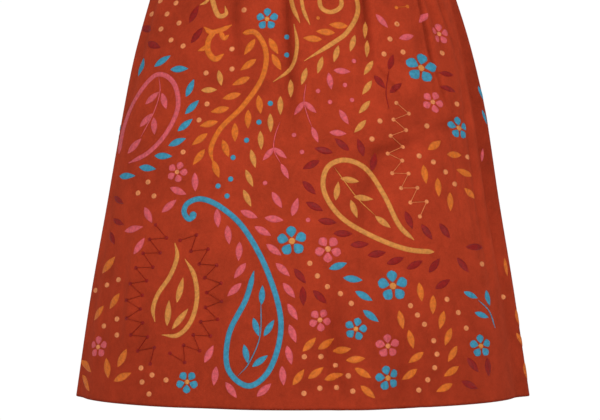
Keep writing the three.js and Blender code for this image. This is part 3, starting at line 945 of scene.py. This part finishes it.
def scrolls(behind):
    # the orange branch bends twice, has leaves on both sides and ends in one
    branch = [(243, 33), (256, 33), (266, 52), (262, 78), (243, 106), (221, 128), (211, 148),
              (213, 163)]
    stroke("orange", branch, 5.4, behind, (0.02, 0.1))
    leaves("orange", [(216, 169, 68)], behind)
    leaf_row("orange", [(249, 38), (249, 62), (236, 90), (215, 116), (200, 138), (199, 166)], 8,
             38, behind)
    leaf_row("orange", [(272, 38), (278, 70)], 2, -20, behind)
    leaf_row("orange", [(265, 97), (250, 117), (232, 136), (222, 157)], 4, -44, behind)
    # a curled scroll with three short arms
    stroke("orange", [(217, 30), (209, 39), (208, 51), (215, 59), (224, 54)], 6.0, behind,
           (0.16, 0.16))
    stroke("orange", [(204, 27), (211, 32), (221, 30), (232, 25)], 5.2, behind, (0.25, 0.25))
    stroke("orange", [(198, 51), (206, 47), (211, 39)], 5.0, behind, (0.35, 0.35))
    stroke("orange", [(220, 31), (224, 38), (229, 35)], 5.0, behind, (0.3, 0.3))
    # gold scrolls that come down from the waist
    stroke("gold", [(209, -22), (212, -2), (218, 15), (226, 14), (225, 6)], 5.0, behind, (0.2, 0.2))
    stroke("gold", [(200, 5), (207, 1), (211, -8)], 3.6, behind, (0.4, 0.4))
    stroke("gold", [(286, -44), (290, -18), (292, 4), (300, 23)], 4.4, behind)
    stroke("gold", [(294, 24), (297, 46), (291, 68), (273, 82)], 4.0, behind, (0.3, 0.3))
    stroke("gold", [(313, -34), (302, -12), (303, 8), (310, 25)], 3.8, behind)
    stroke("gold", [(319, -8), (321, 7), (331, 12), (341, 6), (340, -8)], 4.6, behind, (0.2, 0.2))
    stroke("gold", [(352, -18), (358, 10), (348, 31), (333, 43), (304, 61)], 4.8, behind,
           (0.15, 0.3))
    leaf_row("orange", [(345, 22), (306, 42)], 3, 32, behind)
    leaf_row("gold", [(361, 38), (336, 54), (296, 82)], 4, -38, behind, 0.95, slim=0.88)
    leaf_row("gold", [(364, 21), (368, 58)], 2, 15, behind, 0.95, slim=0.8)
    leaf_row("gold", [(369, 58), (366, 98), (358, 136)], 4, 32, behind, 0.95, slim=0.88)
    leaf_row("gold", [(296, 80), (272, 120), (253, 159), (246, 208)], 7, -32, behind, slim=0.85)
    leaves("gold", [(220, 78, 76), (209, 90, 0)], behind, 0.86)


# %% Rows of leaves


def leaf_rows(behind):
    # round the pink paisley
    leaves("blue", [(141, 67, -76)], behind, 1.0, 1.4)
    leaves("blue", [(162, 61, -33), (179, 69, 0), (190, 88, -70)], behind)
    leaves("blue", [(192, 107, -46), (185, 125, -40), (177, 142, -22), (163, 156, 3)], behind)
    leaves("blue", [(147, 168, 8), (126, 176, 0)], behind)
    # round the gold paisley
    leaf_row("burgundy", [(379, 170), (362, 148), (337, 145), (316, 156), (308, 174)], 5, 45,
             behind)
    leaf_row("burgundy", [(307, 178), (316, 209), (345, 235), (384, 257), (424, 266), (444, 263)],
             9, -34, behind)
    leaves("burgundy", [(409, 220, 70), (427, 232, 55), (445, 231, 55)], behind)
    leaves("burgundy", [(476, 247, 2), (463, 265, 55), (443, 284, -28)], behind)
    # round the blue paisley
    leaf_row("pink", [(242, 206), (266, 236), (285, 276), (293, 318), (289, 356), (279, 386)], 9,
             -26, behind)
    leaf_row("pink", [(212, 210), (227, 233), (240, 254), (239, 275), (231, 299)], 5, 26, behind)
    leaves("pink", [(264, 390, -42), (231, 390, 52), (215, 376, 95), (209, 354, -65)], behind)
    leaves("pink", [(274, 219, 8), (277, 200, 58), (295, 207, -72)], behind)
    # blue and orange rows between the flowers
    leaves("blue", [(338, 266, -18), (353, 279, 8), (364, 296, 30), (371, 316, 38)], behind)
    leaf_row("orange", [(301, 345), (331, 345), (363, 364)], 4, -40, behind)
    leaf_row("orange", [(290, 380), (316, 373), (342, 379)], 3, -34, behind)
    leaves("orange", [(363, 373, 32), (368, 392, 42)], behind)
    leaf_row("orange", [(414, 286), (434, 306), (447, 333), (453, 364), (441, 396)], 7, 44,
             behind)
    leaf_row("orange", [(396, 310), (416, 349)], 2, 16, behind)
    leaf_row("orange", [(419, 349), (407, 383)], 2, 38, behind)
    leaf_row("orange", [(425, 142), (451, 152), (466, 176), (472, 204)], 4, -46, behind)
    leaf_row("orange", [(418, 168), (438, 187), (456, 209)], 3, 44, behind)
    # the left side
    leaves("orange", [(108, 265, -52)], behind, 1.2)
    leaves("orange", [(114, 301, -62), (98, 313, -58)], behind)
    leaves("orange", [(122, 358, -66), (107, 368, 76), (122, 377, -28)], behind, 1.08)
    leaves("orange", [(87, 366, 28), (86, 383, 44)], behind, 1.1)
    leaves("burgundy", [(194, 14, -70), (197, 35, -58), (153, 45, 24), (148, 29, 20)], behind)
    leaves("burgundy", [(118, 200, 32), (112, 238, 60), (118, 222, 24)], behind, 0.8)
    leaves("pink", [(195, 182, 84), (178, 191, 22), (169, 206, -42), (148, 215, 57)], behind)
    leaves("pink", [(133, 229, -15), (139, 246, -62)], behind)
    # round the right side
    leaves("blue", [(481, 93, 80), (485, 117, 80)], behind, 0.8, 0.55)
    leaves("pink", [(488, 155, -80)], behind, 0.75, 0.5)
    leaves("orange", [(508, 267, 90), (518, 318, 84), (518, 341, 72), (523, 371, 88)], behind,
           1.0, 0.6)
    # dark leaves low down
    leaves("burgundy", [(300, 276, 52), (303, 296, 88), (320, 297, 45)], behind)
    leaves("burgundy", [(473, 365, 55), (488, 367, 92), (470, 385, 28)], behind)
    leaves("burgundy", [(447, 74, 5), (449, 89, 20)], behind, 0.8)
    # pink ones near the top
    leaves("pink", [(342, 71, 5), (330, 81, 82), (344, 117, 60), (338, 133, 5)], behind, 0.9)
    leaves("pink", [(382, 21, 52), (422, 18, -36), (407, 37, -12)], behind, 0.9)


# %% Flowers and sprigs
# colour, across, down, radius, first petal's direction
FLOWERS = [
    ("blue", 267, 19, 10.5, -90), ("blue", 421, 68, 14, -80), ("blue", 459, 128, 11, -85),
    ("blue", 292, 241, 14, -95), ("blue", 393, 286, 14.5, -92), ("blue", 356, 329, 10.5, -75),
    ("blue", 388, 378, 11.5, -100), ("blue", 481, 346, 11, -90), ("blue", 187, 382, 10.5, -54),
    ("pink", 177, 172, 10, -70), ("pink", 439, 34, 10, -85), ("pink", 433, 102, 10.5, -60),
    ("pink", 328, 249, 12.5, -52), ("pink", 320, 320, 10.5, -60), ("pink", 388, 346, 11, -90),
    ("pink", 98, 347, 10.5, -95),
    ("blue", 236, -48, 11, -80), ("pink", 372, -40, 11, -60), ("blue", 398, -92, 9.5, -90),
    ("pink", 262, -100, 10, -70),
]


def flowers(behind):
    for colour, x, y, radius, turn in FLOWERS:
        flower(colour, *spot(x, y, behind), radius, turn)


def sprigs(behind):
    sprig("pink", [(280, 122), (275, 136), (274, 150), (281, 164)], 0.6, behind, 0.9, 46)
    sprig("pink", [(306, 84), (304, 100), (307, 114), (312, 127)], 0.4, behind, 0.9, 42)
    stroke("burgundy", [(389, 109), (386, 92), (389, 70)], STEM_WIDTH, behind)
    leaves("burgundy", [(391, 62, -68), (380, 82, 52), (395, 88, -36)], behind, 0.9)
    stroke("blue", [(495, 328), (489, 311), (478, 300)], STEM_WIDTH, behind)
    leaves("blue", [(471, 295, 26), (488, 298, 84), (482, 315, 22)], behind, 0.85)


# %% Dots and chains


def dot_rows(behind):
    # peach dots, scattered in loose rows
    for row, count in (
        ([(160, 1), (176, 3)], 0), ([(152, 14), (167, 14)], 0), ([(179, 23), (161, 29)], 0),
        ([(171, 40), (183, 46)], 0), ([(244, 10), (232, 49), (232, 69)], 0),
        ([(206, 73), (207, 104), (199, 120)], 0), ([(183, 152), (148, 182)], 0),
        ([(138, 193), (154, 196)], 0), ([(390, 39), (403, 52), (384, 54)], 0),
        ([(442, 53), (457, 104), (427, 126)], 0), ([(380, 121), (372, 139)], 0),
        ([(412, 153), (438, 165), (460, 190)], 4), ([(468, 157), (482, 264)], 0),
        ([(124, 277), (90, 293)], 3), ([(117, 319), (104, 326), (117, 335)], 0),
        ([(141, 368), (152, 375), (142, 382)], 0), ([(166, 380), (149, 394)], 0),
        ([(306, 257), (323, 283), (344, 296), (356, 309)], 5), ([(407, 301), (428, 329)], 3),
        ([(432, 334), (437, 360), (425, 384), (413, 394)], 5),
        ([(296, 358), (322, 357), (355, 381)], 4), ([(296, 396), (328, 387), (361, 393)], 4),
        ([(441, 293), (458, 312), (470, 336)], 3), ([(510, 297), (397, 24)], 0),
    ):
        dots("peach", row, count, behind)
    dots("blue", [(287, 37), (287, 55), (218, 186), (227, 196)], 0, behind)
    dots("blue", [(276, 94), (252, 133), (232, 160), (231, 190)], 5, behind)
    dots("pink", [(354, 61), (345, 85), (318, 91), (330, 102), (352, 100)], 0, behind, 0.85)
    dots("pink", [(302, 152), (294, 135), (265, 183), (308, 220)], 0, behind, 0.85)
    dot_chain("peach", [(404, 100), (399, 130), (395, 160), (408, 186), (428, 216)], 15, 7,
              behind, 0.78)
    dot_chain("orange", [(391, 6), (413, 8)], 2, 1, behind, 0.7)
    dots("orange", [(397, 24), (318, 18)], 0, behind, 0.7)
    for path in (
        [(164, 224), (154, 248), (139, 280), (133, 312), (143, 345), (158, 361)],
        [(182, 232), (198, 248), (211, 272), (214, 300), (207, 326), (192, 348), (170, 362)],
    ):
        dot_chain("burgundy", path, 19, 7.5, behind, 0.7, 0.27)


def upper_filling(behind):
    """Above the hips the design thins out into leaves, dots and small sprigs."""
    leaf_row("orange", [(212, -36), (232, -76), (244, -120)], 4, 10, behind, swing=16)
    leaf_row("gold", [(330, -46), (338, -84), (334, -124)], 4, -8, behind, swing=14)
    leaf_row("pink", [(300, -52), (296, -92), (304, -132)], 4, 10, behind, swing=18)
    leaf_row("blue", [(408, -14), (396, -58), (380, -120)], 4, -12, behind, swing=14)
    leaf_row("burgundy", [(190, -20), (214, -100), (228, -132)], 4, 12, behind, swing=12)
    leaf_row("burgundy", [(432, -24), (412, -72)], 2, -12, behind, swing=12)
    leaf_row("orange", [(356, -70), (352, -132)], 3, 16, behind, swing=14)
    dots("peach", [(184, -12), (206, -62), (232, -132)], 6, behind)
    dots("peach", [(318, -62), (318, -134)], 4, behind)
    dots("peach", [(424, 4), (418, -44), (392, -126)], 6, behind)
    dots("blue", [(276, -66), (272, -134)], 4, behind, 0.85)
    dots("gold", [(258, -20), (266, -52)], 2, behind, 0.85)
    stroke("gold", [(286, -44), (280, -76), (286, -112), (302, -128)], 4.0, behind, (0.3, 0.3))
    stroke("gold", [(352, -18), (344, -40), (350, -58), (362, -56)], 4.0, behind, (0.3, 0.3))


def side_filling(side):
    """Down a side, behind its seam, where neither chart reaches: leaves, dots and flowers."""
    below = np.arange(116.0, 745.0, 30.0)
    count = np.arange(len(below))
    angle = side * np.radians(97 + 11 * (count % 2))
    turn = side * np.radians(55 + 35 * (count % 3))
    for k, colour in enumerate(("orange", "pink", "gold", "blue", "burgundy")):
        here = (count % 5 == k) & (count % 7 != 3)
        leaf = leaf_grid(LEAF_LONG, LEAF_WIDE)
        lay(colour, leaf, angle[here], below[here], turn[here], anywhere=True)
    for k in count[count % 7 == 3]:
        flower("pink" if k % 2 else "blue", angle[k], below[k], 10.5, 20.0 * k)
    between = side * np.radians(105 - 9 * (count % 2))
    lay("peach", dot_grid(DOT_RADIUS), between, below + 14, 0 * below, anywhere=True)


side_filling(-1)
side_filling(1)
for from_behind in (False, True):
    paisleys(from_behind)
    scrolls(from_behind)
    leaf_rows(from_behind)
    flowers(from_behind)
    sprigs(from_behind)
    dot_rows(from_behind)
    upper_filling(from_behind)

# %% Sewing lines
STITCH_PITCH = 3.4
BAND_STITCH = 2.5  # from the waistband's rims
ZIP_STITCH = 11.0  # from the centre back


def sewing(angle, below, lift=0.0):
    """A row of short stitches along a line of angles and heights, in the darkest thread."""
    east, south = np.gradient(angle) * length_per_radian(angle, below), np.gradient(below)
    share = np.concatenate([[0], np.cumsum(np.hypot(east, south)[1:])])
    wanted = np.arange(STITCH_PITCH, share[-1], STITCH_PITCH)
    places = [np.interp(wanted, share, line) for line in (angle, below, np.arctan2(south, east))]
    x, y, out = leaf_grid(2.6, 0.8, 5, 5)
    lay("burgundy", (x, y, 0.45 * out), *places, lift, True)


band_end = CENTRE_BACK - (ZIP_OPENING / 2 + 1) / length_per_radian(CENTRE_BACK, 0)
around = np.linspace(-band_end, band_end, 400)
for height in (BAND_STITCH, BAND_HEIGHT - BAND_STITCH):
    sewing(around, height + 0 * around, BAND_PROUD)
down = np.linspace(PANEL_TOP + 1, ZIP_LENGTH, 120)
for side in (-1, 1):
    sewing(CENTRE_BACK + side * ZIP_STITCH / length_per_radian(CENTRE_BACK, down), down)
foot = np.linspace(-ZIP_STITCH, ZIP_STITCH, 12)
sewing(CENTRE_BACK + foot / length_per_radian(CENTRE_BACK, ZIP_LENGTH), ZIP_LENGTH + 0 * foot)

embroidery = {}
for thread, lists in sewn.items():
    embroidery[thread] = make_piece(
        "embroidery_" + thread,
        np.concatenate(lists["points"]),
        np.concatenate(lists["quads"]),
        thread_materials[thread],
        np.concatenate(lists["uv"]),
        np.concatenate(lists["shade"]),
    )
    print(thread, "has", len(embroidery[thread].data.polygons), "faces")

# %% [markdown]
# ## Zip
#
# The zip lies behind the leather at the centre back, closed up to the waistband's top. Its tape
# is woven, its teeth are small metal blocks from both sides that mesh in the middle, and its
# slider and pull tab are the solids with their sharp edges taken off. The pull tab rides on a
# body of its own, since it swings.

# %% Zip materials
TAPE_WIDTH, TAPE_OUT, TAPE_IN = 30.0, -2.4, -3.4
TAPE_FROM, TAPE_TO = 1.0, ZIP_LENGTH + 7
TOOTH_PITCH = 2.4  # from one tooth to the next on the same side
TOOTH = {"reach": 0.5, "root": 2.3, "tall": 1.15, "out": -0.3, "in": -2.1}
CHAIN_FROM, CHAIN_TO = 14.6, ZIP_LENGTH - ZIP_CLOSE
EDGE_SOFTNESS = 0.25
WEAVE_PITCH = 0.8


def tape_material():
    material, shader, add, link = new_material("zip_tape")
    uv = add("ShaderNodeUVMap", uv_map="UVMap").outputs["UV"]
    weave = add("ShaderNodeTexWave", {"Vector": uv}, wave_type="BANDS", bands_direction="DIAGONAL")
    weave.inputs["Scale"].default_value = 2 * math.pi / WEAVE_PITCH / WAVE_BANDS
    set_inputs(shader, Base_Color=(0.185, 0.0190, 0.0105, 1), Roughness=0.8,
               Specular_IOR_Level=0.2)
    bump = add("ShaderNodeBump", {"Height": weave.outputs[1], "Strength": 0.5, "Distance": 0.0003})
    link(bump.outputs["Normal"], shader.inputs["Normal"])
    return material


def metal_material():
    material, shader, add, link = new_material("zip_metal")
    place = add("ShaderNodeTexCoord").outputs["Object"]
    cloud = cloudy(add, place, 700, 3)
    wear_and_shade = add("ShaderNodeMapRange", {"Value": cloud, "To Min": 0.22, "To Max": 0.42})
    link(wear_and_shade.outputs["Result"], shader.inputs["Roughness"])
    set_inputs(shader, Base_Color=(0.56, 0.37, 0.14, 1), Metallic=1.0)
    return material


tape_cloth, brass = tape_material(), metal_material()

# %% Tape, teeth, slider and tab


def zip_tape():
    rows = np.linspace(TAPE_FROM, TAPE_TO, 120)
    across = np.linspace(-TAPE_WIDTH / 2, TAPE_WIDTH / 2, 13)
    below = np.broadcast_to(rows[:, None], (len(rows), len(across)))
    angles = CENTRE_BACK + across[None, :] / length_per_radian(CENTRE_BACK, below)
    level = np.zeros(angles.shape)
    points, quads = wall_shell(angles, below, level + TAPE_OUT, level + TAPE_IN)
    uv = np.stack([np.broadcast_to(across, angles.shape).ravel(), below.ravel()], -1)
    piece = make_piece("zip_tape_woven", points, quads, tape_cloth, np.tile(uv, (2, 1)))
    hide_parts("zip_tape")
    return piece


def zip_teeth():
    """Blocks of eight corners; a tooth narrows towards its tip, and each side takes turns."""
    count = int((CHAIN_TO - CHAIN_FROM) / TOOTH_PITCH)
    corners = []
    for side, start in ((-1, 0.0), (1, TOOTH_PITCH / 2)):
        heights = CHAIN_FROM + start + TOOTH_PITCH * np.arange(count)
        for out in (TOOTH["in"], TOOTH["out"]):
            for across, share in ((TOOTH["root"], 0.5), (-TOOTH["reach"], 0.32)):
                for up in (-share, share):
                    corners.append((side * across + 0 * heights, heights + up * TOOTH["tall"],
                                    out + 0 * heights))
    across, below, out = (
        np.array([corner[k] for corner in corners]).reshape(2, 8, count).transpose(0, 2, 1)
        for k in range(3)
    )
    angles = CENTRE_BACK + across / length_per_radian(CENTRE_BACK, below)
    points = leather(angles, below, out).reshape(-1, 3)
    block = np.array([(0, 1, 3, 2), (4, 6, 7, 5), (0, 4, 5, 1), (2, 3, 7, 6), (0, 2, 6, 4),
                      (1, 5, 7, 3)])
    quads = (block[None] + 8 * np.arange(2 * count)[:, None, None]).reshape(-1, 4)
    piece = make_piece("zip_teeth", points, quads, brass)
    piece.data.polygons.foreach_set("use_smooth", np.zeros(len(quads), bool))
    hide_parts("zip_chain")
    print("teeth:", 2 * count)


def softened(node, name, body):
    """A CAD solid's own mesh in metal, its sharp edges rounded by a bevel."""
    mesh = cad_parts[node].data.copy()
    mesh.materials.clear()
    mesh.materials.append(brass)
    piece = bpy.data.objects.new(name, mesh)
    bpy.context.scene.collection.objects.link(piece)
    bevel = piece.modifiers.new("soft edges", "BEVEL")
    bevel.width = EDGE_SOFTNESS * MM
    bevel.segments = 2
    bevel.limit_method = "ANGLE"
    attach(piece, body)
    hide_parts(node)


tape_woven = zip_tape()
zip_teeth()
softened("zip_slider", "slider", "skirt")
softened("pull_tab", "tab", "tab")

# %% [markdown]
# ## The room
#
# A pale floor lies well under the hem, since the skirt is held at the waist. Four large soft
# lights stand round it: the key in front and above, one on each side and one behind. A white
# surround fills the shadows as a light tent does.

# %% Floor, lights and surround
FLOOR_BELOW_HEM = 380.0
FLOOR_RADIUS = 3.1


def floor_disc():
    turn = np.linspace(0, 2 * math.pi, 97)[:-1]
    rim = np.stack([np.cos(turn), np.sin(turn), 0 * turn], -1) * FLOOR_RADIUS
    rim[:, 2] = (GRIP - LENGTH - FLOOR_BELOW_HEM) * MM
    mesh = bpy.data.meshes.new("floor")
    mesh.from_pydata(rim.tolist(), [], [list(range(len(rim)))])
    floor = bpy.data.objects.new("floor", mesh)
    bpy.context.scene.collection.objects.link(floor)
    material, shader, _, _ = new_material("pale_floor")
    set_inputs(shader, Base_Color=(0.86, 0.86, 0.85, 1), Roughness=0.8)
    mesh.materials.append(material)


def soft_light(name, place, aim, size, power):
    data = bpy.data.lights.new(name, "AREA")
    data.shape = "DISK"
    data.size = size
    data.energy = power
    light = bpy.data.objects.new(name, data)
    light.location = place
    direction = np.array(aim) - np.array(place)
    light.rotation_euler = (
        math.atan2(math.hypot(direction[0], direction[1]), -direction[2]),
        0,
        math.atan2(direction[1], direction[0]) - math.pi / 2,
    )
    bpy.context.scene.collection.objects.link(light)


def surround(seen, lit):
    """A white world: bright where the camera sees it, dimmer as a light."""
    world = bpy.data.worlds.new("white_tent")
    world.use_nodes = True
    nodes, link = world.node_tree.nodes, world.node_tree.links.new
    background = nodes["Background"]
    background.inputs["Color"].default_value = (1, 1, 1, 1)
    path = nodes.new("ShaderNodeLightPath")
    strength = nodes.new("ShaderNodeMapRange")
    strength.inputs["To Min"].default_value = lit
    strength.inputs["To Max"].default_value = seen
    link(path.outputs["Is Camera Ray"], strength.inputs["Value"])
    link(strength.outputs["Result"], background.inputs["Strength"])
    bpy.context.scene.world = world


floor_disc()
soft_light("key", (0.4, -2.7, 0.85), (0.05, 0, -0.34), 1.0, 26)
soft_light("right", (2.2, -1.8, 0.8), (0.1, 0, -0.3), 1.2, 32)
soft_light("left", (-2.1, -1.7, 0.8), (-0.1, 0, -0.3), 1.4, 30)
soft_light("back", (0, 2.8, 0.6), (0, 0, -0.4), 1.5, 50)
surround(1.02, 0.26)
bpy.context.scene.view_settings.view_transform = "Standard"
